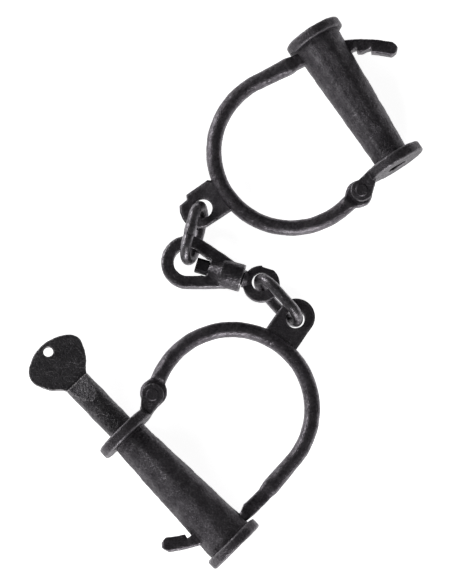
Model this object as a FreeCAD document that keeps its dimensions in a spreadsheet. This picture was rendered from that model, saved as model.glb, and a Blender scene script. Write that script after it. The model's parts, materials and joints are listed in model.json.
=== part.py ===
import FreeCAD
import Part

import math
import os

from FreeCAD import Placement, Rotation, Vector

# Screw-key barrel-lock handcuffs: two cuffs joined by link, swivel and link, with the key in the lower cuff.
#
# Each cuff is made in its own frame, in millimetres: u runs along the lock barrel from its small end to its
# big end, v points into the wrist opening, w is the top. The swivel has a frame of its own, with x from the
# middle of its eye to its socket. Placements then lay the pieces on a flat floor, with Z up.

doc = FreeCAD.newDocument("handcuffs")
sheet = doc.addObject("Spreadsheet::Sheet", "sizes")

SIZES = [
    # lock barrel, from its small end at u = 0
    ("barrel_small_radius", 8.9),
    ("barrel_big_radius", 12.1),
    ("barrel_taper_length", 68.7),
    ("barrel_length", 74.0),
    ("barrel_bore_radius", 6.3),
    ("barrel_bore_length", 66.0),
    ("collar_radius", 14.9),
    ("collar_edge", 1.1),
    ("plug_radius", 9.5),
    ("plug_length", 4.4),
    # hinge plate and rivet
    ("plate_radius", 15.1),
    ("plate_thick", 5.4),
    ("keyhole_radius", 5.0),
    ("pivot_u", -6.6),
    ("pivot_v", 21.5),
    ("ear_radius", 5.4),
    ("ear_top", 5.2),
    ("fork_half_gap", 3.1),
    ("rivet_radius", 2.4),
    ("rivet_head_radius", 3.2),
    ("rivet_head_height", 0.5),
    ("running_gap", 0.05),
    # bow
    ("bow_bar_radius", 3.85),
    ("bow_run_radius", 4.2),
    ("upper_bow_end_radius", 72.5),
    ("lower_bow_end_radius", 71.6),
    ("bow_end_half", 3.5),
    ("bow_tip_angle", -46.2),
    ("bow_tip_bevel", 2.2),
    ("upper_bow_round_radius", 38.5),
    ("upper_bow_round_u", 29.2),
    ("upper_bow_round_v", 39.7),
    ("lower_bow_round_radius", 38.5),
    ("lower_bow_round_u", 26.9),
    ("lower_bow_round_v", 42.3),
    ("tongue_half", 2.8),
    ("knuckle_radius", 6.5),
    ("knuckle_offset", 1.6),
    ("notch_pitch", 5.65),
    ("notch_depth", 1.6),
    ("slot_gap", 1.0),
    # lugs
    ("lug_width", 18.0),
    ("lug_thick", 3.8),
    ("lug_tip", 10.1),
    ("lug_hole_radius", 4.7),
    # bolt, spring and seat
    ("bolt_radius", 6.0),
    ("bolt_tip_reach", 15.05),
    ("bolt_head_end_u", 51.5),
    ("bolt_shoulder_u", 44.0),
    ("bolt_tail_u", 16.0),
    ("bolt_tail_radius", 3.0),
    ("seat_start_u", 1.5),
    ("seat_thick", 2.5),
    ("spring_radius", 5.5),
    ("spring_wire_radius", 0.5),
    ("spring_turns", 12.0),
    # chain
    ("link_wire_radius", 2.65),
    ("link_half_width", 6.85),
    ("link_reach", 27.2),
    ("eye_outer_radius", 13.2),
    ("eye_hole_radius", 7.0),
    ("eye_half_thick", 2.9),
    ("socket_radius", 6.9),
    ("socket_inner_x", 10.6),
    ("socket_end_x", 27.9),
    ("shank_radius", 3.0),
    ("nut_half_side", 3.5),
    ("nut_length", 6.1),
    ("stud_disc_radius", 9.1),
    ("stud_disc_x", 37.6),
    ("stud_disc_half_thick", 2.0),
    ("stud_hole_radius", 4.6),
    # key
    ("key_barrel_radius", 6.7),
    ("key_barrel_length", 31.4),
    ("key_nose_radius", 4.55),
    ("key_nose_length", 29.0),
    ("key_thread_radius", 3.1),
    ("key_head_half_thick", 1.5),
    ("key_ring_hole_radius", 2.35),
    # lie of the pieces on the floor
    ("barrel_height", 15.1),
    ("cuff_tilt", 4.5),
    ("chain_height", 8.5),
    ("frame_shift_x", -0.03),
    ("frame_shift_y", -1.23),
]
for row, (alias, value) in enumerate(SIZES, start=1):
    sheet.set(f"A{row}", alias.replace("_", " "))
    sheet.set(f"B{row}", str(value))
    sheet.setAlias(f"B{row}", alias)
doc.recompute()

ALONG_U = Rotation(Vector(0, 1, 0), 90)
UP = Vector(0, 0, 1)
# half the height of a cutter that goes right through a piece along w
THROUGH = 9.0
subparts = []


def size(alias):
    """A driving dimension, read from the sheet."""
    return float(getattr(sheet, alias))


PIVOT = Vector(size("pivot_u"), size("pivot_v"), 0)


def primitive(kind, name, base, rotation=Rotation(), **sizes):
    """A Part primitive whose sizes are expressions on the sheet."""
    shape = doc.addObject(kind, name)
    for prop, expression in sizes.items():
        shape.setExpression(prop, expression)
    shape.Placement = Placement(Vector(*base), rotation)
    return shape


def rod(name, start_u, radius, length):
    """A cylinder along u from start_u."""
    return primitive("Part::Cylinder", name, (start_u, 0, 0), ALONG_U, Radius=radius, Height=length)


def cut(name, base, *tools):
    """base with the tools taken away, one after another."""
    result = base
    for number, tool in enumerate(tools, start=1):
        last = number == len(tools)
        step = doc.addObject("Part::Cut", name if last else f"{name}_cut_{number}")
        step.Base = result
        step.Tool = tool
        result = step
    return result


def fuse(name, *shapes):
    result = doc.addObject("Part::MultiFuse", name)
    result.Shapes = list(shapes)
    result.Refine = True
    return result


def finished(name, part, place):
    """Registers a finished sub-part: its label, its place on the floor, and its file."""
    part.Label = name
    part.Placement = place
    subparts.append(part)
    return part


def solid_feature(name, shape, place):
    """A sub-part whose shape is worked out with Part's own functions."""
    feature = doc.addObject("Part::Feature", name)
    feature.Shape = shape
    return finished(name, feature, place.multiply(shape.Placement))


def flat_shape(points, low, high):
    """A polygon in the u-v plane made solid from w = low to w = high."""
    corners = [Vector(u, v, low) for u, v in points]
    outline = Part.makePolygon(corners + corners[:1])
    return Part.Face(outline).extrude(Vector(0, 0, high - low))


def post(centre, radius, low, high):
    """A cylinder that stands along w."""
    return Part.makeCylinder(radius, high - low, Vector(centre.x, centre.y, low), UP)


# ---------------------------------------------------------------- lock


def bow_slot(side, name):
    """The curved square channel that the bow's free end passes through, with its gap all round."""
    half = "(sizes.bow_end_half + sizes.slot_gap)"
    radius = f"sizes.{side}_bow_end_radius"
    base = (PIVOT.x, PIVOT.y, -(size("bow_end_half") + size("slot_gap")))
    outer = primitive("Part::Cylinder", f"{name}_slot_outer", base,
                      Radius=f"{radius} + {half}", Height=f"2 * {half}")
    inner = primitive("Part::Cylinder", f"{name}_slot_inner", base,
                      Radius=f"{radius} - {half}", Height=f"2 * {half}")
    return cut(f"{name}_slot", outer, inner)


def lock_barrel(side, place):
    """A tapered tube with a curved slot across its big end, for the bow's free end to pass through."""
    name = f"{side}_lock_barrel"
    taper = primitive("Part::Cone", f"{name}_taper", (0, 0, 0), ALONG_U,
                      Radius1="sizes.barrel_small_radius", Radius2="sizes.barrel_big_radius",
                      Height="sizes.barrel_taper_length")
    seat = rod(f"{name}_seat", size("barrel_taper_length"), "sizes.barrel_big_radius",
               "sizes.barrel_length - sizes.barrel_taper_length")
    bore = rod(f"{name}_bore", 0, "sizes.barrel_bore_radius", "sizes.barrel_bore_length")
    mouth = rod(f"{name}_mouth", size("barrel_length") - size("plug_length"),
                "sizes.plug_radius", "sizes.plug_length")
    blank = fuse(f"{name}_blank", taper, seat)
    return finished(name, cut(name, blank, bore, mouth, bow_slot(side, name)), place)


def collar(side, place):
    """The ring shrunk on the barrel's big end, its rims rounded, with room where the bow passes."""
    name = f"{side}_collar"
    width = "sizes.barrel_length - sizes.barrel_taper_length"
    start = size("barrel_taper_length")
    outside = rod(f"{name}_outside", start, "sizes.collar_radius", width)
    inside = rod(f"{name}_inside", start, "sizes.barrel_big_radius", width)
    ring = cut(f"{name}_ring", outside, inside)
    doc.recompute()
    radius = size("collar_radius")
    rims = [number for number, edge in enumerate(ring.Shape.Edges, start=1)
            if isinstance(edge.Curve, Part.Circle) and abs(edge.Curve.Radius - radius) < 1e-6]
    rounded = doc.addObject("Part::Fillet", f"{name}_rounded")
    rounded.Base = ring
    rounded.Edges = [(number, size("collar_edge"), size("collar_edge")) for number in rims]
    return finished(name, cut(name, rounded, bow_slot(side, name)), place)


def end_plug(side, place):
    """The disc that closes the big end, with a shallow dished face."""
    name = f"{side}_end_plug"
    disc = rod(f"{name}_disc", size("barrel_length") - size("plug_length"), "sizes.plug_radius",
               "sizes.plug_length")
    dish_radius = 60.0
    dish_depth = 0.6
    dish = primitive("Part::Sphere", f"{name}_dish",
                     (size("barrel_length") + dish_radius - dish_depth, 0, 0))
    dish.Radius = dish_radius
    return finished(name, cut(name, disc, dish), place)


def hinge_plate(side, place):
    """The disc at the small end, with a keyhole, and an arm that ends in two ears round the rivet."""
    thick = size("plate_thick")
    ear_top = size("ear_top")
    axis = Vector(1, 0, 0)
    rim = 0.6
    disc = Part.makeCylinder(size("plate_radius"), thick, Vector(-thick, 0, 0), axis)
    disc = disc.makeChamfer(rim, [edge for edge in disc.Edges if isinstance(edge.Curve, Part.Circle)])
    # the arm starts inside the disc, leaves its front face flush, and leans back to the rivet
    arm_front = [(0, 4), (0, 13.2), (-1.4, 20.4)]
    arm_back = [(-11.4, 19.0), (-thick, 12.2), (-thick, 4)]
    arm = flat_shape(arm_front + arm_back, -ear_top, ear_top)
    ears = post(PIVOT, size("ear_radius"), -ear_top, ear_top)
    gap = size("fork_half_gap")
    knuckle_reach = size("knuckle_offset") + 0.3
    swing_room = post(PIVOT, size("ear_radius") + knuckle_reach, -gap, gap)
    keyhole = Part.makeCylinder(size("keyhole_radius"), 3 * thick, Vector(-2 * thick, 0, 0), axis)
    rivet_hole = post(PIVOT, size("rivet_radius"), -2 * ear_top, 2 * ear_top)
    shape = disc.fuse([arm, ears]).removeSplitter()
    shape = shape.cut(swing_room).cut(keyhole).cut(rivet_hole)
    return solid_feature(f"{side}_hinge_plate", shape, place)


def hinge_rivet(side, place):
    """The pin through the two ears and the bow's tongue, headed over at both ends."""
    name = f"{side}_hinge_rivet"
    top = size("ear_top")
    pin = primitive("Part::Cylinder", f"{name}_pin", (PIVOT.x, PIVOT.y, -top),
                    Radius="sizes.rivet_radius", Height="2 * sizes.ear_top")
    heads = [
        primitive("Part::Cone", f"{name}_head_{number}", (PIVOT.x, PIVOT.y, end * top),
                  Rotation(Vector(1, 0, 0), 0 if end > 0 else 180),
                  Radius1="sizes.rivet_head_radius", Radius2="sizes.rivet_head_radius - 0.6",
                  Height="sizes.rivet_head_height")
        for number, end in enumerate((-1, 1), start=1)
    ]
    return finished(name, fuse(name, pin, *heads), place)


def bolt(side, place):
    """The plunger: a round head with a chisel tip that enters the notches, and the tail the key draws."""
    tip_u = size(f"{side}_bow_end_radius") - size("bolt_tip_reach")
    shoulder = size("bolt_shoulder_u")
    head_end = size("bolt_head_end_u")
    axis = Vector(1, 0, 0)
    head = Part.makeCylinder(size("bolt_radius"), head_end - shoulder, Vector(shoulder, 0, 0), axis)
    half = 3.2
    nib = 1.5
    slope = 0.95
    chisel = [(head_end - 1, -nib), (tip_u, -nib), (tip_u, 0), (tip_u - slope, half), (head_end - 1, half)]
    tip = flat_shape(chisel, -half, half)
    tail_u = size("bolt_tail_u")
    tail_radius = size("bolt_tail_radius")
    tail = Part.makeCylinder(tail_radius, shoulder - tail_u, Vector(tail_u, 0, 0), axis)
    point = Part.makeCone(tail_radius - 0.8, tail_radius, 1.0, Vector(tail_u - 1.0, 0, 0), axis)
    return solid_feature(f"{side}_bolt", head.fuse([tip, tail, point]).removeSplitter(), place)


def spring_seat(side, place):
    """The washer that the spring pushes against at the barrel's small end."""
    name = f"{side}_spring_seat"
    start = size("seat_start_u")
    outside = rod(f"{name}_outside", start, "sizes.barrel_bore_radius", "sizes.seat_thick")
    inside = rod(f"{name}_inside", start, "sizes.keyhole_radius", "sizes.seat_thick")
    return finished(name, cut(name, outside, inside), place)


def bolt_spring(side, place):
    """A coil spring round the bolt's tail, between the seat and the bolt's shoulder."""
    wire = size("spring_wire_radius")
    clear = wire + 0.1
    start = size("seat_start_u") + size("seat_thick") + clear
    end = size("bolt_shoulder_u") - clear
    height = end - start
    radius = size("spring_radius")
    helix = Part.makeHelix(height / size("spring_turns"), height, radius)
    section = Part.Wire(Part.Circle(Vector(radius, 0, 0), Vector(0, 1, 0), wire).toShape())
    coil = Part.Wire(helix.Edges).makePipeShell([section], True, True)
    coil.rotate(Vector(0, 0, 0), Vector(0, 1, 0), 90)
    coil.translate(Vector(start, 0, 0))
    return solid_feature(f"{side}_bolt_spring", coil, place)


# ---------------------------------------------------------------- bow and lug


def turned(shape, degrees):
    """A copy of the shape turned about the hinge rivet."""
    copy = shape.copy()
    copy.rotate(PIVOT, UP, degrees)
    return copy


def at(centre, radius, degrees):
    """The point at this radius and angle about a centre."""
    angle = math.radians(degrees)
    return centre + Vector(radius * math.cos(angle), radius * math.sin(angle), 0)


def round_centre(side):
    """The middle of the round part of this side's bow."""
    return Vector(size(f"{side}_bow_round_u"), size(f"{side}_bow_round_v"), 0)


def bow_shape(side):
    """The shackle: a square notched end on an arc about the rivet, a straight run, and a round bar."""
    bar = size("bow_bar_radius")
    run_radius = size("bow_run_radius")
    centre = round_centre(side)
    end_radius = size(f"{side}_bow_end_radius")
    end_half = size("bow_end_half")
    round_radius = size(f"{side}_bow_round_radius")
    between = centre - PIVOT
    distance = between.Length
    bearing = math.degrees(math.atan2(between.y, between.x))
    # the straight run is tangent to both arcs, so both meet it at the same angle
    join = bearing - math.degrees(math.acos((end_radius - round_radius) / distance))
    run_start = at(PIVOT, end_radius, join)
    run_end = at(centre, round_radius, join)
    # the round part ends where its tangent passes through the rivet
    finish = bearing + 180 - math.degrees(math.acos(round_radius / distance))
    tail_start = at(centre, round_radius, finish)

    corner = 1.3
    square = Part.makeBox(2 * end_half, 2 * end_half, 1)
    upright = [edge for edge in square.Edges if abs(edge.Vertexes[0].Z - edge.Vertexes[1].Z) > 0.5]
    square = square.makeFillet(corner, upright)
    section = min(square.Faces, key=lambda face: face.CenterOfMass.z)
    section = section.copy()
    section.translate(Vector(-end_half, -end_half, 0))
    section.rotate(Vector(0, 0, 0), Vector(1, 0, 0), 90)
    section.translate(PIVOT + Vector(end_radius, 0, 0))
    section.rotate(PIVOT, UP, size("bow_tip_angle"))
    free_end = section.revolve(PIVOT, UP, join - size("bow_tip_angle"))

    run = Part.makeCone(run_radius, bar, (run_end - run_start).Length, run_start, run_end - run_start)
    disc = Part.Face(Part.Wire(Part.Circle(run_end, run_end - run_start, bar).toShape()))
    ring = disc.revolve(centre, UP, finish - join)
    tail = Part.makeCylinder(bar, (PIVOT - tail_start).Length, tail_start, PIVOT - tail_start)
    toward_bar = (tail_start - PIVOT).normalize()
    tongue_half = size("tongue_half")
    knuckle_middle = PIVOT + toward_bar * size("knuckle_offset")
    knuckle = post(knuckle_middle, size("knuckle_radius"), -tongue_half, tongue_half)

    ear_room = size("ear_radius") + 0.4
    shank = run.fuse([ring, tail, knuckle, free_end])
    shank = shank.cut(post(PIVOT, ear_room, tongue_half, THROUGH))
    shank = shank.cut(post(PIVOT, ear_room, -THROUGH, -tongue_half))
    tongue = post(PIVOT, size("ear_radius"), -tongue_half, tongue_half)
    shape = shank.fuse(tongue).removeSplitter()
    shape = shape.cut(post(PIVOT, size("rivet_radius") + size("running_gap"), -THROUGH, THROUGH))

    # both corners of the tip are ground off, the outer one more than the inner
    tip = at(PIVOT, end_radius, size("bow_tip_angle"))
    across = at(Vector(0, 0, 0), 1, size("bow_tip_angle"))
    along = Vector(-across.y, across.x, 0)
    bevel = size("bow_tip_bevel")
    for face, length in ((1, 1.5 * bevel), (-1, bevel)):
        outside = across * face
        start = tip - along * 0.01
        wedge = [start + outside * (end_half - bevel), start + outside * (end_half + 1),
                 tip + outside * (end_half + 1) + along * length * (bevel + 1) / bevel]
        shape = shape.cut(flat_shape([(point.x, point.y) for point in wedge], -THROUGH, THROUGH))

    # notches: a steep wall towards the tip and a gentle ramp away from it
    inner_u = PIVOT.x + end_radius - end_half
    floor_u = inner_u - 3.3 + size("notch_depth")
    wall_v, ramp_v, ramp_end_v = -1.8, 0.2, 4.4
    outline = [(floor_u - 5, wall_v), (floor_u, wall_v), (floor_u, ramp_v), (floor_u - 1.1, ramp_end_v),
               (floor_u - 5, ramp_end_v)]
    notch = flat_shape(outline, -THROUGH, THROUGH)
    for step in range(-3, 2):
        shape = shape.cut(turned(notch, step * size("notch_pitch")))
    return shape.removeSplitter()


def plain_lug(base, hole_reach, thick):
    """A plate with a half-round end, in a frame with x away from the middle of the bow's round part."""
    half = size("lug_width") / 2
    middle = hole_reach + size("lug_tip") - half
    plate = Part.makeBox(middle - base, 2 * half, 2 * thick, Vector(base, -half, -thick))
    return plate.fuse(Part.makeCylinder(half, 2 * thick, Vector(middle, 0, -thick), UP)).removeSplitter()


def stepped_lug(base, hole_reach, thick):
    """A plate in the same frame, wider on one side and stepped in at that side's outer corner."""
    edge = [(-9.7, -10.5), (3.2, -10.1), (4.3, -7.9), (9.0, -7.3), (10.6, -4.4), (11.2, -1.5), (11.2, 0.6),
            (10.6, 3.0), (9.2, 5.4), (7.0, 7.4), (3.6, 8.6)]
    outline = [(base, -7.6)] + [(hole_reach + x, y) for x, y in edge] + [(base, 8.6)]
    return flat_shape(outline, -thick, thick)


def bow_and_lug(side, place, bearing, hole_reach, lug_blank):
    """The bow, and the flat plate brazed on its back with the hole for the chain link."""
    bow_solid = bow_shape(side)
    solid_feature(f"{side}_bow", bow_solid, place)
    thick = size("lug_thick") / 2
    shape = lug_blank(size(f"{side}_bow_round_radius") + 0.5, hole_reach, thick)
    shape = shape.cut(post(Vector(hole_reach, 0, 0), size("lug_hole_radius"), -2 * thick, 2 * thick))
    shape.rotate(Vector(0, 0, 0), UP, bearing)
    shape.translate(round_centre(side))
    return solid_feature(f"{side}_lug", shape.cut(bow_solid), place)


# ---------------------------------------------------------------- chain


def link_shape():
    """A link: two half rings joined by two straight rods, with its long axis along x and standing in x-z."""
    wire = size("link_wire_radius")
    half = size("link_half_width")
    straight = size("link_reach") / 2 - half
    axis = Vector(1, 0, 0)
    pieces = []
    for end in (1, -1):
        centre = Vector(end * straight, 0, 0)
        disc = Part.Face(Part.Wire(Part.Circle(centre + UP * half, axis, wire).toShape()))
        pieces.append(disc.revolve(centre, Vector(0, end, 0), 180))
        pieces.append(Part.makeCylinder(wire, 2 * straight, Vector(-straight, 0, end * half), axis))
    return pieces[0].fuse(pieces[1:]).removeSplitter()


def link(name, place):
    return solid_feature(name, link_shape(), place)


def pear(big, small, small_x, half):
    """Two circles along x, the big one at the origin, and the straight flanks tangent to both."""
    slope = math.acos((big - small) / small_x)
    circles = ((0, big), (small_x, small))
    upper = [(x + radius * math.cos(slope), radius * math.sin(slope)) for x, radius in circles]
    lower = [(x, -y) for x, y in reversed(upper)]
    posts = [post(Vector(x, 0, 0), radius, -half, half) for x, radius in circles]
    return flat_shape(upper + lower, -half, half).fuse(posts)


def swivel_body(place):
    """A flat forged eye with a pear-shaped hole, running into a round socket for the stud's shank."""
    outer = size("eye_outer_radius")
    hole = size("eye_hole_radius")
    half = size("eye_half_thick")
    socket = size("socket_radius")
    inner_x = size("socket_inner_x")
    end_x = size("socket_end_x")
    axis = Vector(1, 0, 0)
    middle = Vector(0, 0, 0)

    eye = pear(outer, socket + 0.9, 18.0, half).removeSplitter()
    rims = [edge for edge in eye.Edges
            if abs(abs(edge.BoundBox.ZMin) - half) < 1e-6 and edge.BoundBox.ZLength < 1e-6]
    rim = 1.6
    eye = eye.makeFillet(rim, rims)
    cone_start = inner_x - 1.2
    cone_length = 8.0
    cone = Part.makeCone(half + 0.2, socket, cone_length, Vector(cone_start, 0, 0), axis)
    tube_start = cone_start + cone_length
    tube = Part.makeCylinder(socket, end_x - tube_start, Vector(tube_start, 0, 0), axis)
    nut_room = size("nut_half_side") + 0.9
    nut_slot = [(3, -nut_room), (inner_x, -nut_room), (inner_x, nut_room), (3, nut_room)]
    opening = pear(hole, 5.5, 5.0, THROUGH).fuse(flat_shape(nut_slot, -THROUGH, THROUGH))
    shank_hole = Part.makeCylinder(size("shank_radius") + size("running_gap"), end_x + 1, middle, axis)
    shape = eye.fuse([cone, tube]).cut(opening).cut(shank_hole)
    return solid_feature("swivel_body", shape.removeSplitter(), place)


def swivel_stud(place):
    """The round eye and the shank that turns in the socket."""
    disc_x = size("stud_disc_x")
    half = size("stud_disc_half_thick")
    radius = size("stud_disc_radius")
    axis = Vector(1, 0, 0)
    disc = post(Vector(disc_x, 0, 0), radius, -half, half)
    disc = disc.makeFillet(0.5, [edge for edge in disc.Edges if isinstance(edge.Curve, Part.Circle)])
    flat_depth = 0.9
    flat = Part.makeBox(12, 3, 2 * THROUGH, Vector(disc_x - 2, radius - flat_depth, -THROUGH))
    start_x = size("socket_inner_x") - 0.25 - size("nut_length")
    shank = Part.makeCylinder(size("shank_radius"), disc_x - 6.5 - start_x, Vector(start_x, 0, 0), axis)
    neck = Part.makeCone(4.6, 3.4, 2.6, Vector(size("socket_end_x") + 0.35, 0, 0), axis)
    hole = post(Vector(disc_x - 0.3, 0.8, 0), size("stud_hole_radius"), -THROUGH, THROUGH)
    shape = disc.fuse([shank, neck]).cut(flat).cut(hole)
    return solid_feature("swivel_stud", shape.removeSplitter(), place)


def swivel_nut(place):
    """The squared nut riveted on the shank's end, inside the eye."""
    half = size("nut_half_side")
    length = size("nut_length")
    start_x = size("socket_inner_x") - 0.25 - length
    block = Part.makeBox(length, 2 * half, 2 * half, Vector(start_x, -half, -half))
    corner = 1.3
    long_edges = [edge for edge in block.Edges if abs(edge.Vertexes[0].X - edge.Vertexes[1].X) > 1]
    block = block.makeChamfer(corner, long_edges)
    hole_start = Vector(start_x - length, 0, 0)
    hole = Part.makeCylinder(size("shank_radius"), 3 * length, hole_start, Vector(1, 0, 0))
    return solid_feature("swivel_nut", block.cut(hole), place)


# ---------------------------------------------------------------- key


def key_head_tongue():
    """The fan outline and its neck, cut from flat plate."""
    far_low, far_high = Vector(-57.4, -12.2, 0), Vector(-56.8, 12.7, 0)
    wide_low, wide_high = Vector(-53.6, -14.9, 0), Vector(-53.6, 15.3, 0)
    near_low, near_high = Vector(-48.0, -14.5, 0), Vector(-48.0, 14.7, 0)
    hip_low, hip_high = Vector(-41.0, -10.4, 0), Vector(-41.0, 10.6, 0)
    neck_low, neck_high = Vector(-36.6, -6.5, 0), Vector(-36.6, 6.5, 0)
    root_low, root_high = Vector(-30.0, -3.2, 0), Vector(-30.0, 3.2, 0)
    edges = [
        Part.Arc(far_low, Vector(-61.4, 0.3, 0), far_high).toShape(),
        Part.Arc(far_high, wide_high, near_high).toShape(),
        Part.Arc(near_high, Vector(-44.0, 12.8, 0), hip_high).toShape(),
        Part.Arc(hip_high, Vector(-38.9, 8.0, 0), neck_high).toShape(),
        Part.LineSegment(neck_high, root_high).toShape(),
        Part.LineSegment(root_high, root_low).toShape(),
        Part.LineSegment(root_low, neck_low).toShape(),
        Part.Arc(neck_low, Vector(-38.9, -7.9, 0), hip_low).toShape(),
        Part.Arc(hip_low, Vector(-44.0, -12.6, 0), near_low).toShape(),
        Part.Arc(near_low, wide_low, far_low).toShape(),
    ]
    half = size("key_head_half_thick")
    outline = Part.Face(Part.Wire(edges))
    outline.translate(Vector(0, 0, -half))
    return outline.extrude(Vector(0, 0, 2 * half))


def key_head(place):
    half = size("key_head_half_thick")
    hole = post(Vector(-57.0, 0.4, 0), size("key_ring_hole_radius"), -2 * half, 2 * half)
    return solid_feature("key_head", key_head_tongue().cut(hole), place)


def key_barrel(place):
    """The round shank that butts on the hinge plate, and the hollow nose that takes the bolt's tail."""
    radius = size("key_barrel_radius")
    length = size("key_barrel_length")
    butt = -size("plate_thick") - 0.1
    back = butt - length
    axis = Vector(1, 0, 0)
    shank = Part.makeCylinder(radius, length, Vector(back, 0, 0), axis)
    shoulder = 1.2
    front = [edge for edge in shank.Edges
             if isinstance(edge.Curve, Part.Circle) and abs(edge.Curve.Center.x - butt) < 1e-6]
    shank = shank.makeFillet(shoulder, front)
    # the back is drawn down above and below, to meet the flat head
    slope_length = 13.0
    back_half = 2.4
    for face in (1, -1):
        slope = [(back - 0.1, face * back_half), (back + slope_length, face * (radius + 0.1)),
                 (back - 0.1, face * (radius + 0.1))]
        corners = [Vector(u, -radius - 1, w) for u, w in slope]
        wedge = Part.Face(Part.makePolygon(corners + corners[:1]))
        shank = shank.cut(wedge.extrude(Vector(0, 2 * radius + 2, 0)))
    nose_length = size("key_nose_length")
    nose = Part.makeCylinder(size("key_nose_radius"), nose_length + 4, Vector(butt - 4, 0, 0), axis)
    thread = Part.makeCylinder(size("key_thread_radius"), nose_length + 8, Vector(butt - 8, 0, 0), axis)
    shape = shank.fuse(nose).removeSplitter().cut(thread).cut(key_head_tongue())
    return solid_feature("key_barrel", shape, place)


# ---------------------------------------------------------------- laying out

SHIFT = Vector(size("frame_shift_x"), size("frame_shift_y"), 0)


def cuff_place(origin, direction, opened):
    """Lays a cuff with its barrel level and its bow's back lowered; opened turns the bow about the rivet."""
    lie = Placement(origin + SHIFT + Vector(0, 0, size("barrel_height")),
                    Rotation(UP, direction).multiply(Rotation(Vector(1, 0, 0), -size("cuff_tilt"))))
    turn = Placement(Vector(0, 0, 0), Rotation(UP, opened), PIVOT)
    return lie, lie.multiply(turn)


def link_place(one_end, other_end, lean):
    """Lays a link between two crossings, leaning about its long axis."""
    middle = (one_end + other_end) * 0.5
    along = other_end - one_end
    direction = math.degrees(math.atan2(along.y, along.x))
    height = size("link_half_width") * math.cos(math.radians(lean)) + size("link_wire_radius")
    return Placement(middle + SHIFT + Vector(0, 0, height),
                     Rotation(UP, direction).multiply(Rotation(Vector(1, 0, 0), lean)))


CUFFS = {
    # barrel's small end, its direction, how far the bow is open, and the lug's bearing, hole and shape
    "upper": (Vector(81.4, 66.0, 0), 121.7, 0.0, (91.3, 52.3, stepped_lug)),
    "lower": (Vector(-46.3, -71.2, 0), -45.5, size("notch_pitch"), (95.0, 53.6, plain_lug)),
}
for side, (origin, direction, opened, lug_shape) in CUFFS.items():
    lock_place, bow_place = cuff_place(origin, direction, opened)
    for make in (lock_barrel, collar, end_plug, hinge_plate, hinge_rivet, bolt, bolt_spring, spring_seat):
        make(side, lock_place)
    bow_and_lug(side, bow_place, *lug_shape)
    if side == "lower":
        key_head(lock_place)
        key_barrel(lock_place)

swivel_place = Placement(Vector(-18.7, 14.7, size("chain_height")) + SHIFT, Rotation(UP, -16.6))
swivel_body(swivel_place)
swivel_stud(swivel_place)
swivel_nut(swivel_place)
link("upper_link", link_place(Vector(-12.3, 42.6, 0), Vector(-19.0, 15.8, 0), 17.0))
link("lower_link", link_place(Vector(16.6, 5.8, 0), Vector(34.6, -14.2, 0), -17.0))

doc.recompute()
for item in doc.Objects:
    assert not {"Invalid", "Error"} & set(item.State), f"{item.Label} failed: {item.State}"
for part in subparts:
    assert not part.Shape.isNull(), f"{part.Label} is empty"
    assert part.Shape.isValid(), f"{part.Label} is not valid"
    assert len(part.Shape.Solids) == 1, f"{part.Label} has {len(part.Shape.Solids)} solids"
os.makedirs("parts", exist_ok=True)
for part in subparts:
    part.Shape.exportStep(f"parts/{part.Label}.step")
whole = FreeCAD.BoundBox()
for part in subparts:
    whole.add(part.Shape.BoundBox)
print(len(subparts), "sub-parts; box", whole)
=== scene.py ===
import json
import math

import bmesh
import bpy
import numpy as np
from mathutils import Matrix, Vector


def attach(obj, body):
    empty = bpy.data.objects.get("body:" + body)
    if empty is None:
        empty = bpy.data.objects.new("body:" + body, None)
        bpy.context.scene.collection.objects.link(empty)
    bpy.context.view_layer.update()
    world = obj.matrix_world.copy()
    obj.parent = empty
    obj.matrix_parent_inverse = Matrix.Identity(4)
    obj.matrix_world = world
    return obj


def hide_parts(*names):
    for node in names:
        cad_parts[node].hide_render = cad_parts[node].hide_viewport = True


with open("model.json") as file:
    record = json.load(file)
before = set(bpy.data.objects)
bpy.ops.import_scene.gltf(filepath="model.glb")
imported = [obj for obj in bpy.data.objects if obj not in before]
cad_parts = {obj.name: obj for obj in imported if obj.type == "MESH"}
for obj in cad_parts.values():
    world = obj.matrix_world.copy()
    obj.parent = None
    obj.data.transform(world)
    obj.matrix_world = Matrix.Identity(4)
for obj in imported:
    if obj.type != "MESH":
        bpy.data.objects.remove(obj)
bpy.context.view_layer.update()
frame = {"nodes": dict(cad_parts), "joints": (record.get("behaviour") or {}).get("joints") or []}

# Screw-key barrel-lock handcuffs in blackened iron, lying on a white floor.
# Sizes are in millimetres and become metres only when a mesh is made. Each cuff has the same frame as its
# CAD: u along the lock barrel from its small end, v into the wrist opening, w up.

MM = 0.001
SIDES = ("upper", "lower")
JOINTS = {joint["name"]: joint for joint in frame["joints"]}

# sizes shared with the CAD model
PIVOT = np.array([-6.6, 21.5, 0.0])
BARREL_SMALL, BARREL_BIG = 8.9, 12.1
TAPER_LENGTH, BARREL_LENGTH = 68.7, 74.0
BORE_RADIUS, BORE_LENGTH = 6.3, 66.0
PLUG_RADIUS, PLUG_LENGTH = 9.5, 4.4
BOW_END_RADIUS = {"upper": 72.5, "lower": 71.6}
BOW_END_HALF = 3.5
BOW_TIP_ANGLE, BOW_TIP_BEVEL = -46.2, 2.2
BOW_BAR, BOW_RUN = 3.85, 4.2
BOW_ROUND = {"upper": ((29.2, 39.7), 38.5), "lower": ((26.9, 42.3), 38.5)}
BOW_OPENED = {"upper": 0.0, "lower": 5.65}
NOTCH_PITCH, NOTCH_DEPTH = 5.65, 1.6
TONGUE_HALF, KNUCKLE_RADIUS, KNUCKLE_OFFSET = 2.8, 6.5, 1.6
SLOT_HALF = BOW_END_HALF + 1.0
LUGS = {"upper": (91.3, 52.3), "lower": (95.0, 53.6)}
LUG_TIP = 10.1
LUG_HALF_WIDTH, LUG_HALF_THICK, LUG_HOLE = 9.0, 1.9, 4.7
LINK_WIRE, LINK_HALF_WIDTH, LINK_REACH = 2.65, 6.85, 27.2
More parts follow.
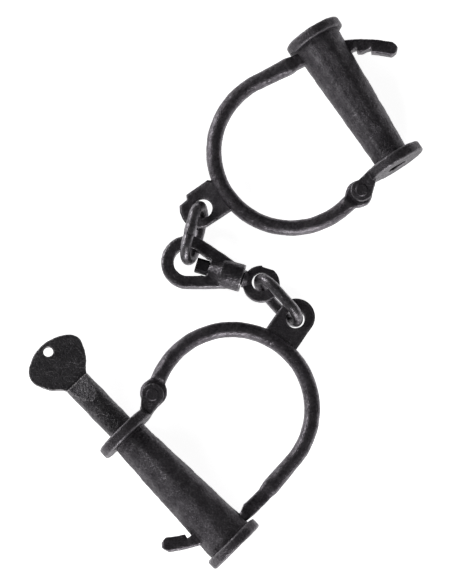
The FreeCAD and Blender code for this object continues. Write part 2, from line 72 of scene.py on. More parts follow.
LINK_LEAN = {"upper": 17.0, "lower": -17.0}
# a painted highlight band along each lock barrel, where light falls on its flank: its angle round u from v in
# degrees, and where along u it ends
HIGHLIGHT_BAND = {"upper": (62.0, 66.0), "lower": (98.0, 26.0)}


# ---------------------------------------------------------------- frames


def unit(vector):
    return vector / np.linalg.norm(vector)


class Place:
    """A local frame: an origin in millimetres and three unit axes as rows."""

    def __init__(self, origin, x_axis, z_axis):
        x_axis = unit(np.array(x_axis, float))
        z_axis = unit(np.array(z_axis, float))
        self.origin = np.array(origin, float)
        self.axes = np.stack([x_axis, np.cross(z_axis, x_axis), z_axis])

    def out(self, points):
        """Local points to the row frame: the origin plus each coordinate times its axis."""
        return self.origin + points @ self.axes


def joint_at(name):
    """Where a joint's axis passes, in millimetres."""
    return np.array(JOINTS[name]["pos_m"]) / MM


def turned_about(points, centre, degrees):
    """Points turned in the u-v plane about a centre."""
    angle = math.radians(degrees)
    cosine, sine = math.cos(angle), math.sin(angle)
    turn = np.array([[cosine, sine, 0], [-sine, cosine, 0], [0, 0, 1]])
    return (points - centre) @ turn + centre


def cuff_place(side):
    """A cuff's frame, found from its bolt's direction and its hinge's axis."""
    along = np.array(JOINTS[f"{side}_bolt_slide"]["axis"])
    top = -np.array(JOINTS[f"{side}_bow_swing"]["axis"])
    place = Place((0, 0, 0), along, top)
    place.origin = joint_at(f"{side}_bow_swing") - PIVOT @ place.axes
    return place


def link_frame(side):
    """x along the link, z towards its upper limb, leaning from the vertical."""
    ends = {"upper": ("upper_cuff_swing", "upper_link_swing"),
            "lower": ("lower_link_swing", "lower_cuff_swing")}
    first, second = (joint_at(name) for name in ends[side])
    along = unit(second - first)
    lean = math.radians(LINK_LEAN[side])
    sideways = np.cross((0, 0, 1), along)
    top = math.cos(lean) * np.array([0, 0, 1.0]) - math.sin(lean) * sideways
    return Place((first + second) / 2, along, top)


CUFF = {side: cuff_place(side) for side in SIDES}


# ---------------------------------------------------------------- surfaces


def lumps(points, size, seed):
    """Smooth noise from -1 to 1: the mean of 20 plane waves with random directions and lengths near size."""
    random = np.random.default_rng(seed)
    directions = random.normal(size=(20, 3))
    directions /= np.linalg.norm(directions, axis=1)[:, None]
    waves = directions * (2 * math.pi / size) * random.uniform(0.7, 1.5, 20)[:, None]
    phases = random.uniform(0, 2 * math.pi, 20)
    return np.clip(np.sin(points @ waves.T + phases).sum(axis=1) / 7.0, -1, 1)


def hammered(points, normals, depth, seed):
    """Moves each point along its normal: broad hammer dents, finer scale and a few sharp pits."""
    dents = lumps(points, 9.0, seed) * 0.55 + lumps(points, 3.6, seed + 1) * 0.3
    scale = lumps(points, 1.5, seed + 2) * 0.16
    pits = -np.clip(lumps(points, 1.9, seed + 3) - 0.42, 0, 1) * 0.9
    return points + normals * (depth * (dents + scale + pits))[:, None]


def mesh_object(name, points, faces):
    """A smooth-shaded mesh object at the origin, from points in row millimetres."""
    mesh = bpy.data.meshes.new(name)
    mesh.from_pydata((points * MM).tolist(), [], faces)
    mesh.validate()
    mesh.polygons.foreach_set("use_smooth", np.ones(len(mesh.polygons), bool))
    piece = bpy.data.objects.new(name, mesh)
    bpy.context.scene.collection.objects.link(piece)
    return piece


def grid_faces(rows, columns, rows_close, first=0):
    """Quads of a rows by columns grid whose columns close on themselves."""
    r = np.arange(rows if rows_close else rows - 1)
    c = np.arange(columns)
    r, c = np.meshgrid(r, c, indexing="ij")
    r_next = (r + 1) % rows
    c_next = (c + 1) % columns
    corners = ((r, c), (r, c_next), (r_next, c_next), (r_next, c))
    quads = np.stack([row * columns + column for row, column in corners], -1)
    return (quads.reshape(-1, 4) + first).tolist()


def tube_parts(grid):
    """Points and faces of a tube of closed rings, whose two ends are closed by fans round a middle point."""
    rows, columns = grid.shape[:2]
    points = np.concatenate([grid.reshape(-1, 3), grid[0].mean(0)[None], grid[-1].mean(0)[None]])
    faces = grid_faces(rows, columns, False)
    start, end = rows * columns, rows * columns + 1
    ring = np.arange(columns)
    after = (ring + 1) % columns
    last = (rows - 1) * columns
    faces += np.stack([np.full(columns, start), after, ring], 1).tolist()
    faces += np.stack([np.full(columns, end), last + ring, last + after], 1).tolist()
    return points, faces


def loop_parts(grid):
    """Points and faces of a grid that closes both ways, as a ring does."""
    return grid.reshape(-1, 3), grid_faces(*grid.shape[:2], True)


def set_outwards(piece):
    """Turns every face to point out of its shell."""
    work = bmesh.new()
    work.from_mesh(piece.data)
    bmesh.ops.recalc_face_normals(work, faces=work.faces)
    work.to_mesh(piece.data)
    work.free()


def coordinates(mesh):
    values = np.empty(len(mesh.vertices) * 3, np.float32)
    mesh.vertices.foreach_get("co", values)
    return values.reshape(-1, 3).astype(float)


def vertex_normals(mesh):
    values = np.empty(len(mesh.vertices) * 3, np.float32)
    mesh.vertex_normals.foreach_get("vector", values)
    return values.reshape(-1, 3).astype(float)


def forge(piece, depth, seed):
    """Gives a finished shape its hammered skin."""
    points = coordinates(piece.data) / MM
    points = hammered(points, vertex_normals(piece.data), depth, seed)
    piece.data.vertices.foreach_set("co", (points * MM).astype(np.float32).ravel())
    piece.data.update()


def applied(piece):
    """Makes the piece's modifiers part of its mesh."""
    done = bpy.data.meshes.new_from_object(piece.evaluated_get(bpy.context.evaluated_depsgraph_get()))
    piece.modifiers.clear()
    piece.data = done
    done.polygons.foreach_set("use_smooth", np.ones(len(done.polygons), bool))


def remeshed(piece, voxel, smoothing):
    """One skin over overlapping shells, with its creases softened as forging leaves them."""
    skin = piece.modifiers.new("skin", "REMESH")
    skin.mode = "VOXEL"
    skin.voxel_size = voxel * MM
    soften = piece.modifiers.new("soften", "SMOOTH")
    soften.factor = 0.5
    soften.iterations = smoothing
    bpy.context.view_layer.update()
    applied(piece)


def worn_copy(name, node, voxel, smoothing):
    """A softened copy of a CAD node's mesh, its loose triangles merged first."""
    source = frame["nodes"][node]
    piece = bpy.data.objects.new(name, source.data.copy())
    bpy.context.scene.collection.objects.link(piece)
    work = bmesh.new()
    work.from_mesh(piece.data)
    bmesh.ops.remove_doubles(work, verts=work.verts, dist=1e-6)
    work.to_mesh(piece.data)
    work.free()
    piece.data.materials.clear()
    remeshed(piece, voxel, smoothing)
    return piece


def cut_away(piece, cutter):
    """Cuts the cutter's volume from the piece and removes the cutter."""
    cut = piece.modifiers.new("cut", "BOOLEAN")
    cut.operation = "DIFFERENCE"
    cut.solver = "EXACT"
    cut.object = cutter
    bpy.context.view_layer.update()
    applied(piece)
    bpy.data.objects.remove(cutter)


def finish_piece(piece, body, nodes, material):
    """Rides the body, stands for the CAD nodes and takes the slot's finish."""
    piece.data.materials.clear()
    piece.data.materials.append(material)
    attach(piece, body)
    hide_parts(*nodes)


def plate_loop(outer, inner, half_low, half_high, edge, steps=(10, 4)):
    """A plate with a hole as one ring-shaped grid.

    outer and inner are matching closed outlines (n, 2). The section of the ring goes across the top from the
    outer outline to the hole, over a rounded edge and down the hole's wall, back under and up the outside.
    half_low and half_high are the lower and upper faces' heights, which may vary along the outline (n,).
    """
    across, round_steps = steps
    toward = inner - outer
    width = np.linalg.norm(toward, axis=1, keepdims=True)
    toward = toward / width
    quarter = np.linspace(0, math.pi / 2, round_steps)
    rows = []

    def ring(distance, height):
        flat = outer + toward * distance
        rows.append(np.column_stack([flat, height]))

    high = np.broadcast_to(half_high, len(outer))
    low = np.broadcast_to(half_low, len(outer))
    for t in quarter:
        ring(edge * (1 - np.sin(t)), high - edge * (1 - np.cos(math.pi / 2 - t)))
    for t in np.linspace(0, 1, across)[1:-1]:
        ring(edge + (width - 2 * edge) * t, high)
    for t in quarter:
        ring(width - edge * (1 - np.sin(t)), high - edge * (1 - np.cos(t)))
    for t in np.linspace(0, 1, 6)[1:-1]:
        ring(width, high - edge + (low - high + 2 * edge) * t)
    for t in quarter:
        ring(width - edge * (1 - np.cos(t)), low + edge * (1 - np.sin(t)))
    for t in np.linspace(0, 1, across)[1:-1]:
        ring(width - edge + (2 * edge - width) * t, low)
    for t in quarter:
        ring(edge * (1 - np.sin(t)), low + edge * (1 - np.cos(t)))
    for t in np.linspace(0, 1, 6)[1:-1]:
        ring(np.zeros_like(width), low + edge + (high - low - 2 * edge) * t)
    return np.stack(rows, 1)


# ---------------------------------------------------------------- finishes


def linear(hex_colour):
    """An sRGB hex colour as linear RGBA."""
    values = [int(hex_colour[start:start + 2], 16) / 255 for start in (1, 3, 5)]
    return [v / 12.92 if v <= 0.04045 else ((v + 0.055) / 1.055) ** 2.4 for v in values] + [1.0]


def add(tree, kind, inputs=None, **settings):
    """Adds one node: settings are its own properties, and each input is a value or the socket to link."""
    added = tree.nodes.new(kind)
    for name, value in settings.items():
        setattr(added, name, value)
    for name, value in (inputs or {}).items():
        if isinstance(value, bpy.types.NodeSocket):
            tree.links.new(value, added.inputs[name])
        else:
            added.inputs[name].default_value = value
    return added


def stops(ramp, *places):
    """Sets a colour ramp's stops: (position, grey or hex colour)."""
    elements = ramp.color_ramp.elements
    while len(elements) < len(places):
        elements.new(0.5)
    for element, (position, colour) in zip(elements, places):
        element.position = position
        element.color = linear(colour) if isinstance(colour, str) else (colour, colour, colour, 1)
    return ramp


# how deep the bump draws the deepest pit
PIT_DEPTH = 0.22


def iron(name, dark, middle, worn, roughness, pits, wear, scratches=0.5):
    """Blackened forged iron: oxide scale baked on with oil, so it is dark and satin, with granular pits,
    lighter metal where high spots and edges have rubbed and, on the lock barrels, a painted highlight band,
    and fine scratches from handling."""
    material = bpy.data.materials.new(name)
    material.use_nodes = True
    tree = material.node_tree
    tree.nodes.clear()
    place = add(tree, "ShaderNodeTexCoord").outputs["Object"]
    millimetres = add(tree, "ShaderNodeMapping", {"Vector": place,
                                                  "Scale": (1000, 1000, 1000)}).outputs["Vector"]

    # oxide patches about 6 mm across, scale grains of 1 mm, and pits of 0.8 mm
    patches = add(tree, "ShaderNodeTexNoise", {"Vector": millimetres, "Scale": 0.17, "Detail": 5.0,
                                               "Roughness": 0.62}).outputs["Fac"]
    grain = add(tree, "ShaderNodeTexNoise", {"Vector": millimetres, "Scale": 1.0, "Detail": 6.0,
                                             "Roughness": 0.7}).outputs["Fac"]
    pit = add(tree, "ShaderNodeTexVoronoi", {"Vector": millimetres, "Scale": 1.1,
                                             "Randomness": 1.0}).outputs["Distance"]

    # scratches 0.25 mm wide and several millimetres long, in two directions
    scratch_values = []
    for turn in (0.7, 2.2):
        drawn = add(tree, "ShaderNodeMapping", {"Vector": place, "Rotation": (0.3, 0.2, turn),
                                                "Scale": (90, 2600, 2600)}).outputs["Vector"]
        lines = add(tree, "ShaderNodeTexNoise", {"Vector": drawn, "Scale": 1.0, "Detail": 2.0}).outputs["Fac"]
        ramp = stops(add(tree, "ShaderNodeValToRGB", {"Fac": lines}), (0.66, 0.0), (0.74, 1.0))
        scratch_values.append(ramp.outputs["Color"])
    scratch = add(tree, "ShaderNodeMath", dict(enumerate(scratch_values)), operation="MAXIMUM").outputs[0]

    body = stops(add(tree, "ShaderNodeValToRGB", {"Fac": patches}), (0.3, dark), (0.7, middle))
    speckle = stops(add(tree, "ShaderNodeValToRGB", {"Fac": grain}), (0.38, 0.72), (0.66, 1.3))
    base = add(tree, "ShaderNodeMix", {"Factor": 0.8, 6: body.outputs["Color"], 7: speckle.outputs["Color"]},
               data_type="RGBA", blend_type="MULTIPLY").outputs[2]

    # rubbed high spots follow the forged skin, broken up by the grain; on the lock barrels the same lighter
    # colour also paints a highlight band along one flank
    raised = add(tree, "ShaderNodeAttribute", attribute_name="raised").outputs["Fac"]
    broken = add(tree, "ShaderNodeMath", {0: grain, 1: 0.9, 2: -0.45}, operation="MULTIPLY_ADD").outputs[0]
    rubbed = add(tree, "ShaderNodeMath", {0: raised, 1: broken}, operation="ADD").outputs[0]
    rubbed = stops(add(tree, "ShaderNodeValToRGB", {"Fac": rubbed}), (0.42, 0.0), (0.95, wear)).outputs[0]
    marked = add(tree, "ShaderNodeMath", {0: scratch, 1: 0.35 * scratches}, operation="MULTIPLY").outputs[0]
    bare = add(tree, "ShaderNodeMath", {0: rubbed, 1: marked}, operation="MAXIMUM").outputs[0]
    colour = add(tree, "ShaderNodeMix", {"Factor": bare, 6: base, 7: linear(worn)},
                 data_type="RGBA").outputs[2]

    gloss = add(tree, "ShaderNodeMapRange", {"Value": grain, "From Min": 0.3, "From Max": 0.7,
                                             "To Min": roughness + 0.1,
                                             "To Max": roughness - 0.08}).outputs[0]
    gloss = add(tree, "ShaderNodeMath", {0: bare, 1: -0.12, 2: gloss}, operation="MULTIPLY_ADD").outputs[0]

    hollow = stops(add(tree, "ShaderNodeValToRGB", {"Fac": pit}), (0.0, 0.0), (0.45, 1.0)).outputs[0]
    relief = add(tree, "ShaderNodeMath", {0: grain, 1: 1.4, 2: hollow}, operation="MULTIPLY_ADD").outputs[0]
    relief = add(tree, "ShaderNodeMath", {0: scratch, 1: -0.5, 2: relief},
                 operation="MULTIPLY_ADD").outputs[0]
    bump = add(tree, "ShaderNodeBump", {"Height": relief, "Strength": pits,
                                        "Distance": PIT_DEPTH * MM}).outputs["Normal"]
    shader = add(tree, "ShaderNodeBsdfPrincipled", {"Base Color": colour, "Metallic": 1.0,
                                                    "Roughness": gloss, "Normal": bump})
    add(tree, "ShaderNodeOutputMaterial", {"Surface": shader.outputs[0]})
    return material


LOCK_IRON = iron("scaled lock iron", "#4b484c", "#666367", "#8e8b8f", 0.52, 0.75, 0.5)
BOW_IRON = iron("drawn bow iron", "#49464a", "#646065", "#938f94", 0.44, 0.4, 0.55, 1.0)
PLATE_IRON = iron("flat plate iron", "#4b484c", "#646165", "#8c898d", 0.5, 0.5, 0.5, 0.8)
CHAIN_IRON = iron("rubbed chain iron", "#4a474b", "#666367", "#9a979b", 0.42, 0.45, 0.65)
NUT_IRON = iron("unworn nut iron", "#2b292c", "#3a383b", "#5f5d60", 0.55, 0.6, 0.3)
KEY_IRON = iron("rubbed key iron", "#4a484b", "#646265", "#a09d9f", 0.46, 0.6, 0.6, 1.0)
SPRING_STEEL = iron("oiled spring steel", "#4a494b", "#5c5b5d", "#8a898b", 0.34, 0.2, 0.5)
BOLT_STEEL = iron("turned bolt steel", "#434244", "#5a595b", "#8f8e90", 0.36, 0.25, 0.5)


# ---------------------------------------------------------------- pieces


def edge_height(mesh):
    """How far each point stands proud of its neighbours, in edge lengths, evened out over three rings."""
    pairs = np.empty(len(mesh.edges) * 2, np.int32)
    mesh.edges.foreach_get("vertices", pairs)
    a, b = pairs.reshape(-1, 2).T
    points = coordinates(mesh)
    count = np.bincount(a, minlength=len(points)) + np.bincount(b, minlength=len(points))

    def neighbours(values):
        total = np.zeros_like(values)
        np.add.at(total, a, values[b])
        np.add.at(total, b, values[a])
        return total / np.maximum(count, 1).reshape((-1,) + (1,) * (values.ndim - 1))

    spacing = np.linalg.norm(points[a] - points[b], axis=1).mean()
    proud = ((points - neighbours(points)) * vertex_normals(mesh)).sum(1) / spacing
    for _ in range(3):
        proud = 0.4 * proud + 0.6 * neighbours(proud)
    return proud


def forged(piece, body, nodes, material, depth, seed, painted_highlight=None):
    """Hammers the piece and finishes it. Its attribute "raised" is the wear: edges that stand proud and the
    finer high spots of the skin, plus, where there is one, a painted highlight band along one flank."""
    proud = np.clip(edge_height(piece.data) * 9, -0.6, 0.9)
    forge(piece, depth, seed)
    points = coordinates(piece.data) / MM
    spots = 0.18 * lumps(points, 2.2, seed + 5) + 0.14 * lumps(points, 7.0, seed + 6)
    # on the lock barrels this adds the painted highlight: a lighter band where light falls along one flank
    if painted_highlight is not None:
        spots += painted_highlight(points)
    raised = piece.data.attributes.new("raised", "FLOAT", "POINT")
    raised.data.foreach_set("value", np.clip(0.3 + proud + spots, 0, 1).astype(np.float32))
    finish_piece(piece, body, nodes, material)
    return piece


def section_points(columns, exponent):
    """A unit superellipse, round at n = 2 and square as n grows: x is the cosine's size raised to 2/n with
    the cosine's sign, and y is the same for the sine."""
    angle = np.linspace(0, 2 * math.pi, columns, endpoint=False)
    power = 2.0 / np.asarray(exponent)[..., None]
    x = np.sign(np.cos(angle)) * np.abs(np.cos(angle)) ** power
    y = np.sign(np.sin(angle)) * np.abs(np.sin(angle)) ** power
    return x, y


def bow_path(side):
    """The bow's middle line from its free end to past the rivet, as points, with the lengths at its joins:
    an arc about the rivet, a straight run tangent to it, the round part, and a short straight tail."""
    (centre_u, centre_v), radius = BOW_ROUND[side]
    centre = np.array([centre_u, centre_v])
    pivot = PIVOT[:2]
    between = centre - pivot
    distance = np.linalg.norm(between)
    bearing = math.atan2(between[1], between[0])
    join = bearing - math.acos((BOW_END_RADIUS[side] - radius) / distance)
    finish = bearing + math.pi - math.acos(radius / distance)

    def arc(middle, reach, start, end):
        angle = np.linspace(start, end, 900)
        return middle + reach * np.column_stack([np.cos(angle), np.sin(angle)])

    free = arc(pivot, BOW_END_RADIUS[side], math.radians(BOW_TIP_ANGLE), join)
    ring = arc(centre, radius, join, finish)
    run = free[-1] + (ring[0] - free[-1]) * np.linspace(0, 1, 400)[1:-1, None]
    toward = unit(pivot - ring[-1])
    past_rivet = 6.0
    tail_length = np.linalg.norm(pivot - ring[-1]) + past_rivet
    tail = ring[-1] + toward * np.linspace(0, tail_length, 300)[1:, None]
    line = np.concatenate([free, run, ring, tail])
    length = np.concatenate([[0], np.cumsum(np.linalg.norm(np.diff(line, axis=0), axis=1))])
    run_end = len(free) + len(run)
    joins = length[[len(free) - 1, run_end, run_end + len(ring) - 1, -1]]
    joins[3] -= past_rivet
    return line, length, joins


def notch_depth(side, angle):
    """Depth of the notches at an angle about the rivet in degrees: a steep wall, a floor and a ramp,
    repeated at the notch pitch."""
    floor = BOW_END_RADIUS[side] - BOW_END_HALF - 3.3 + NOTCH_DEPTH
    v = -PIVOT[1] + np.array([-1.8, 0.2, 4.4])
    u = floor + np.array([0, 0, -1.1])
    corner_angle = np.degrees(np.arctan2(v, u))
    corner_depth = np.hypot(u, v) - (BOW_END_RADIUS[side] - BOW_END_HALF)
    depth = np.zeros_like(angle)
    wall_foot = corner_angle[0] - 0.15
    for step in range(-3, 2):
        turned = angle - step * NOTCH_PITCH
        here = np.interp(turned, [wall_foot, *corner_angle], [0, *corner_depth])
        inside = (turned > wall_foot) & (turned < corner_angle[2])
        depth = np.maximum(depth, np.where(inside, here, 0))
    return depth


def make_bow(side, seed):
    """A bar carried along the bow's line. Its section is a superellipse, x across the bow and w upright,
    square at the free end and round elsewhere, and it widens to a disc round the rivet. The notches and the
    ground tip cut its inner and outer faces short."""
    line, length, (free_end, run_end, ring_end, pivot_at) = bow_path(side)
    s = np.concatenate([np.arange(0, free_end, 0.28), np.arange(free_end, pivot_at - 8, 0.6),
                        pivot_at - 8 + 12.85 * np.sin(np.linspace(0, math.pi / 2, 50))])
    u, v = (np.interp(s, length, line[:, axis]) for axis in (0, 1))
    path = np.column_stack([u, v])
    along = np.gradient(path, s, axis=0)
    along /= np.linalg.norm(along, axis=1)[:, None]
    outward = np.column_stack([along[:, 1], -along[:, 0]])

    half = np.interp(s, [0, free_end, free_end + 4, run_end, ring_end],
                     [BOW_END_HALF, BOW_END_HALF, BOW_RUN, BOW_BAR, BOW_BAR])
    high = np.interp(s, [0, free_end, free_end + 4, run_end, pivot_at - 9.0, pivot_at - 6.4],
                     [BOW_END_HALF, BOW_END_HALF, BOW_RUN, BOW_BAR, BOW_BAR, TONGUE_HALF])
    disc = np.sqrt(np.clip(KNUCKLE_RADIUS ** 2 - (s - (pivot_at - KNUCKLE_OFFSET)) ** 2, 0.01, None))
    wide = np.where(s > pivot_at - KNUCKLE_OFFSET, disc, (half ** 5 + disc ** 5) ** 0.2)
    exponent = np.interp(s, [0, free_end - 3, free_end + 8, pivot_at - 12, pivot_at - 6],
                         [5.5, 5.5, 2.3, 2.3, 4.5])
    x, y = section_points(48, exponent)
    x = x * wide[:, None]
    y = y * high[:, None]

    angle = np.degrees(np.arctan2(v - PIVOT[1], u - PIVOT[0]))
    inner = np.where(s < free_end, notch_depth(side, angle) - BOW_END_HALF, -9)
    inner_bevel = -(BOW_END_HALF - BOW_TIP_BEVEL) - s
    x = np.maximum(x, np.maximum(inner, inner_bevel)[:, None])
    outer_bevel = BOW_END_HALF - BOW_TIP_BEVEL + s / 1.5
    x = np.minimum(x, outer_bevel[:, None])
    blunt = np.interp(s, [0, 0.9], [0.82, 1.0])[:, None]
    x = x * blunt
    y = y * blunt

    flat = path[:, None] + outward[:, None] * x[..., None]
    grid = np.concatenate([flat, y[..., None]], -1)
    points, faces = tube_parts(grid)
    points = CUFF[side].out(turned_about(points, PIVOT, BOW_OPENED[side]))
    piece = mesh_object(f"{side}_bow_bar", points, faces)
    set_outwards(piece)
    return forged(piece, f"{side}_bow", [f"{side}_bow"], BOW_IRON, 0.16, seed)


def turned_loop(profile, columns, wobble):
    """A ring of revolution about u: profile points (u, r) at each angle, the radius times 1 plus the
    wobble."""
    angle = np.linspace(0, 2 * math.pi, columns, endpoint=False)
    u = np.broadcast_to(profile[:, :1], (len(profile), columns))
    r = np.broadcast_to(profile[:, 1:], (len(profile), columns))
    r = r * (1 + wobble(u, angle))
    return loop_parts(np.stack([u, r * np.cos(angle), r * np.sin(angle)], -1))


def dense(corners, spacing):
    """Points every so often along a closed outline, corners kept."""
    corners = np.array(corners, float)
    rows = []
    for start, end in zip(corners, np.roll(corners, -1, axis=0)):
        count = max(1, int(np.linalg.norm(end - start) / spacing))
        rows.append(start + (end - start) * np.arange(count)[:, None] / count)
    return np.concatenate(rows)


def slot_cutter(side):
    """The room that the bow's free end passes through: a square section carried round the rivet."""
    angle = np.radians(np.linspace(-34, -2, 60))
    corner = SLOT_HALF * np.array([(-1, -1), (1, -1), (1, 1), (-1, 1)])
    reach = BOW_END_RADIUS[side] + corner[:, 0]
    u = PIVOT[0] + reach * np.cos(angle)[:, None]
    v = PIVOT[1] + reach * np.sin(angle)[:, None]
    grid = np.stack([u, v, np.broadcast_to(corner[:, 1], u.shape)], -1)
    points, faces = tube_parts(grid)
    cutter = mesh_object(f"{side}_slot_room", CUFF[side].out(points), faces)
    set_outwards(cutter)
    return cutter


def make_barrel(side, seed):
    """A tapered tube worked out round u. Its outside is drawn down in long shallow facets of uneven width:
    the radius gains the sum of three cosines of the angle, two of which turn slowly along u."""
    stations = np.linspace(0, BARREL_LENGTH, 190)
    taper = np.interp(stations, [0, TAPER_LENGTH], [BARREL_SMALL, BARREL_BIG])
    outside = np.column_stack([stations, taper])
    mouth = BARREL_LENGTH - PLUG_LENGTH
    inside = dense([(BARREL_LENGTH, PLUG_RADIUS), (mouth, PLUG_RADIUS), (mouth, 0.4),
                    (BORE_LENGTH + 0.4, 0.4), (BORE_LENGTH, BORE_RADIUS), (0, BORE_RADIUS)], 3.0)[:-3]
    inside = np.concatenate([inside, [[0, BORE_RADIUS]]])
    profile = np.concatenate([outside, inside])

    def facets(u, angle):
        outer = (np.arange(len(profile)) < len(outside))[:, None]
        fade = np.interp(u, [0, 3, TAPER_LENGTH - 2, TAPER_LENGTH], [0.3, 1, 1, 0])
        waves = (np.cos(5 * angle + u * 0.010 + seed) + 0.7 * np.cos(8 * angle - u * 0.008 + 2 * seed)
                 + 0.4 * np.cos(3 * angle + 3 * seed))
        return outer * fade * 0.011 * waves

    points, faces = turned_loop(profile, 160, facets)
    piece = mesh_object(f"{side}_barrel_tube", CUFF[side].out(points), faces)
    set_outwards(piece)
    cut_away(piece, slot_cutter(side))
    # where the painted highlight band lies on this barrel: its angle round u and where along u it ends
    highlight_angle, highlight_end = HIGHLIGHT_BAND[side]

    def painted_highlight(points):
        """The painted highlight band: a bell curve in the angle round u, faded out past the band's end."""
        local = (points - CUFF[side].origin) @ CUFF[side].axes.T
        angle = np.degrees(np.arctan2(local[:, 2], local[:, 1]))
        fade = np.interp(local[:, 0], [0, highlight_end, highlight_end + 12, 80], [1, 1, 0, 0])
        return 0.34 * fade * np.exp(-((angle - highlight_angle) / 9) ** 2)

    return forged(piece, f"{side}_lock", [f"{side}_lock_barrel"], LOCK_IRON, 0.3, seed, painted_highlight)


def make_lug(side, seed):
    """A flat plate with a round end and a hole, one corner of the upper one stepped, worked out in the bow's
    frame with x away from the middle of the bow's round part."""
    bearing, hole_at = LUGS[side]
    (centre_u, centre_v), radius = BOW_ROUND[side]
    base = radius + 0.8
    if side == "upper":
        edge = [(-9.7, -10.5), (3.2, -10.1), (4.3, -7.9), (9.0, -7.3), (10.6, -4.4), (11.2, -1.5),
                (11.2, 0.6), (10.6, 3.0), (9.2, 5.4), (7.0, 7.4), (3.6, 8.6)]
        outline = [(base, -7.6)] + [(hole_at + x, y) for x, y in edge] + [(base, 8.6)]
    else:
        middle = hole_at + LUG_TIP - LUG_HALF_WIDTH
        sweep = np.radians(np.linspace(-90, 90, 40))
        round_end = [(middle + LUG_HALF_WIDTH * math.cos(a), LUG_HALF_WIDTH * math.sin(a)) for a in sweep]
        outline = [(base, -LUG_HALF_WIDTH)] + round_end + [(base, LUG_HALF_WIDTH)]
    outer = dense(outline, 0.6)
    hole = np.array([hole_at, 0.0])
    toward = outer - hole
    inner = hole + LUG_HOLE * toward / np.linalg.norm(toward, axis=1)[:, None]
    grid = plate_loop(outer, inner, -LUG_HALF_THICK, LUG_HALF_THICK, 0.5)
    points, faces = loop_parts(grid)
    turn = math.radians(bearing)
    lie = np.array([(math.cos(turn), math.sin(turn), 0), (-math.sin(turn), math.cos(turn), 0), (0, 0, 1)])
    points = np.array([centre_u, centre_v, 0]) + points @ lie
    points = CUFF[side].out(turned_about(points, PIVOT, BOW_OPENED[side]))
    piece = mesh_object(f"{side}_lug_plate", points, faces)
    set_outwards(piece)
    return forged(piece, f"{side}_bow", [f"{side}_lug"], PLATE_IRON, 0.1, seed)


def make_link(side, seed):
    """A round wire carried round two half circles and two straight limbs. One limb of the upper link is
    thicker where its ends are lapped."""
    straight = LINK_REACH / 2 - LINK_HALF_WIDTH
    arc = np.linspace(-math.pi / 2, math.pi / 2, 60)
    right = np.column_stack([straight + LINK_HALF_WIDTH * np.cos(arc), LINK_HALF_WIDTH * np.sin(arc)])
    top = np.column_stack([np.linspace(straight, -straight, 32)[1:-1], np.full(30, LINK_HALF_WIDTH)])
    line = np.concatenate([right, top, -right, -top])
    along = np.roll(line, -1, axis=0) - np.roll(line, 1, axis=0)
    along /= np.linalg.norm(along, axis=1)[:, None]
    outward = np.column_stack([along[:, 1], -along[:, 0]])
    angle = np.linspace(0, 2 * math.pi, 40, endpoint=False)
    swell = np.ones(len(line))
    if side == "upper":
        near_top = np.where(line[:, 1] > 0, line[:, 0], 99)
        swell = 1 + 0.1 * np.exp(-((near_top + 1) / 2.6) ** 2) - 0.07 * np.exp(-((near_top - 2.6) / 0.5) ** 2)
    flat = line[:, None] + outward[:, None] * (LINK_WIRE * swell[:, None] * np.cos(angle))[..., None]
    depth = LINK_WIRE * swell[:, None] * np.sin(angle)
    grid = np.stack([flat[..., 0], depth, flat[..., 1]], -1)
    points, faces = loop_parts(grid)
    piece = mesh_object(f"{side}_link_ring", link_frame(side).out(points), faces)
    set_outwards(piece)
    return forged(piece, f"{side}_link", [f"{side}_link"], CHAIN_IRON, 0.14, seed)


for number, side in enumerate(SIDES):
    make_bow(side, 11 + number)
    make_barrel(side, 21 + number)
    forged(worn_copy(f"{side}_collar_ring", f"{side}_collar", 0.34, 3), f"{side}_lock", [f"{side}_collar"],
           LOCK_IRON, 0.16, 31 + number)
    make_lug(side, 41 + number)
    make_link(side, 51 + number)
    forged(worn_copy(f"{side}_hinge_fork", f"{side}_hinge_plate", 0.34, 2), f"{side}_lock",
           [f"{side}_hinge_plate"], PLATE_IRON, 0.22, 61 + number)

# piece, its CAD node and body, voxel size, rounds of smoothing, slot, finish, hammer depth, seed
WORN = [
    ("swivel_eye", "swivel_body", "swivel_body", 0.34, 6, "chain_iron", CHAIN_IRON, 0.2, 71),
    ("stud_eye", "swivel_stud", "swivel_stud", 0.3, 3, "chain_iron", PLATE_IRON, 0.1, 72),
    ("key_fan", "key_head", "key", 0.3, 6, "key_iron", KEY_IRON, 0.2, 73),
    ("key_shank", "key_barrel", "key", 0.32, 4, "key_iron", KEY_IRON, 0.2, 74),
]
for name, node, body, voxel, smoothing, slot, material, depth, seed in WORN:
    forged(worn_copy(name, node, voxel, smoothing), body, [node], material, depth, seed)

CARRIED = {"hinge_rivet": PLATE_IRON, "end_plug": LOCK_IRON, "spring_seat": BOLT_STEEL,
           "bolt_spring": SPRING_STEEL, "bolt": BOLT_STEEL}
for side in SIDES:
    for node, material in CARRIED.items():
        for slot in frame["nodes"][f"{side}_{node}"].material_slots:
            slot.material = material
for slot in frame["nodes"]["swivel_nut"].material_slots:
    slot.material = NUT_IRON


# ---------------------------------------------------------------- floor, light and camera

floor_material = bpy.data.materials.new("white floor")
floor_material.use_nodes = True
floor_shader = floor_material.node_tree.nodes["Principled BSDF"]
floor_shader.inputs["Base Color"].default_value = (0.93, 0.93, 0.93, 1)
floor_shader.inputs["Roughness"].default_value = 1.0
floor_shader.inputs["Emission Color"].default_value = (1, 1, 1, 1)
floor_shader.inputs["Emission Strength"].default_value = 0.9
floor_mesh = bpy.data.meshes.new("floor")
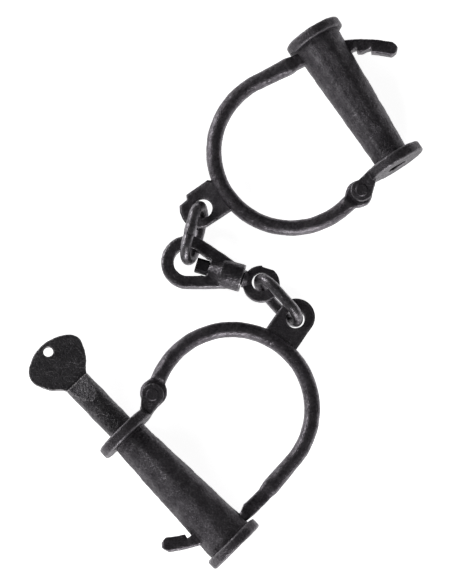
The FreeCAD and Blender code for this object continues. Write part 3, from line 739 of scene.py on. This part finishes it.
# the floor is 6 m square and 0.4 mm under the lowest iron
FLOOR_HALF, FLOOR_HEIGHT = 3.0, -0.0004
floor_signs = ((-1, -1), (1, -1), (1, 1), (-1, 1))
floor_corners = [(x * FLOOR_HALF, y * FLOOR_HALF, FLOOR_HEIGHT) for x, y in floor_signs]
floor_mesh.from_pydata(floor_corners, [], [(0, 1, 2, 3)])
floor_mesh.materials.append(floor_material)
floor = bpy.data.objects.new("floor", floor_mesh)
bpy.context.scene.collection.objects.link(floor)

world = bpy.data.worlds.new("soft white room")
bpy.context.scene.world = world
world.use_nodes = True
room = world.node_tree
toward = add(room, "ShaderNodeSeparateXYZ", {"Vector": add(room, "ShaderNodeTexCoord").outputs["Generated"]})
# the walls are a little brighter than the ceiling, and the front and right walls brighter than the others
walls = add(room, "ShaderNodeMapRange", {"Value": toward.outputs["Z"], "From Min": 0.93, "From Max": 0.45,
                                         "To Min": 1.4, "To Max": 1.75},
            interpolation_type="SMOOTHSTEP").outputs[0]
front = add(room, "ShaderNodeMath", {0: toward.outputs["Y"], 1: -0.3, 2: 1.0},
            operation="MULTIPLY_ADD").outputs[0]
sides = add(room, "ShaderNodeMath", {0: toward.outputs["X"], 1: 0.3, 2: front},
            operation="MULTIPLY_ADD").outputs[0]
glow = add(room, "ShaderNodeMath", {0: walls, 1: sides}, operation="MULTIPLY").outputs[0]
room.links.new(glow, room.nodes["Background"].inputs["Strength"])


def soft_light(name, place, width, power):
    """A square soft light that faces the middle of the object."""
    light = bpy.data.lights.new(name, "AREA")
    light.size = width
    light.energy = power
    lamp = bpy.data.objects.new(name, light)
    lamp.location = place
    lamp.rotation_euler = (-Vector(place)).to_track_quat("-Z", "Y").to_euler()
    bpy.context.scene.collection.objects.link(lamp)


soft_light("front softbox", (0.15, -1.2, 0.55), 0.6, 11)
soft_light("side softbox", (-1.1, 0.5, 0.6), 0.6, 8)

camera_data = bpy.data.cameras.new("camera")
camera_data.sensor_fit = "HORIZONTAL"
camera_data.sensor_width = 36.0
camera_data.lens = 139.4
CAMERA_DISTANCE = 0.8575
camera = bpy.data.objects.new("camera", camera_data)
target = Vector((-0.03, -1.23, 9.0)) * MM
tilt = math.radians(8)
camera.location = target + Vector((0, -math.sin(tilt), math.cos(tilt))) * CAMERA_DISTANCE
camera.rotation_euler = (tilt, 0, 0)
bpy.context.scene.collection.objects.link(camera)
bpy.context.scene.camera = camera
bpy.context.scene.view_settings.view_transform = "Standard"
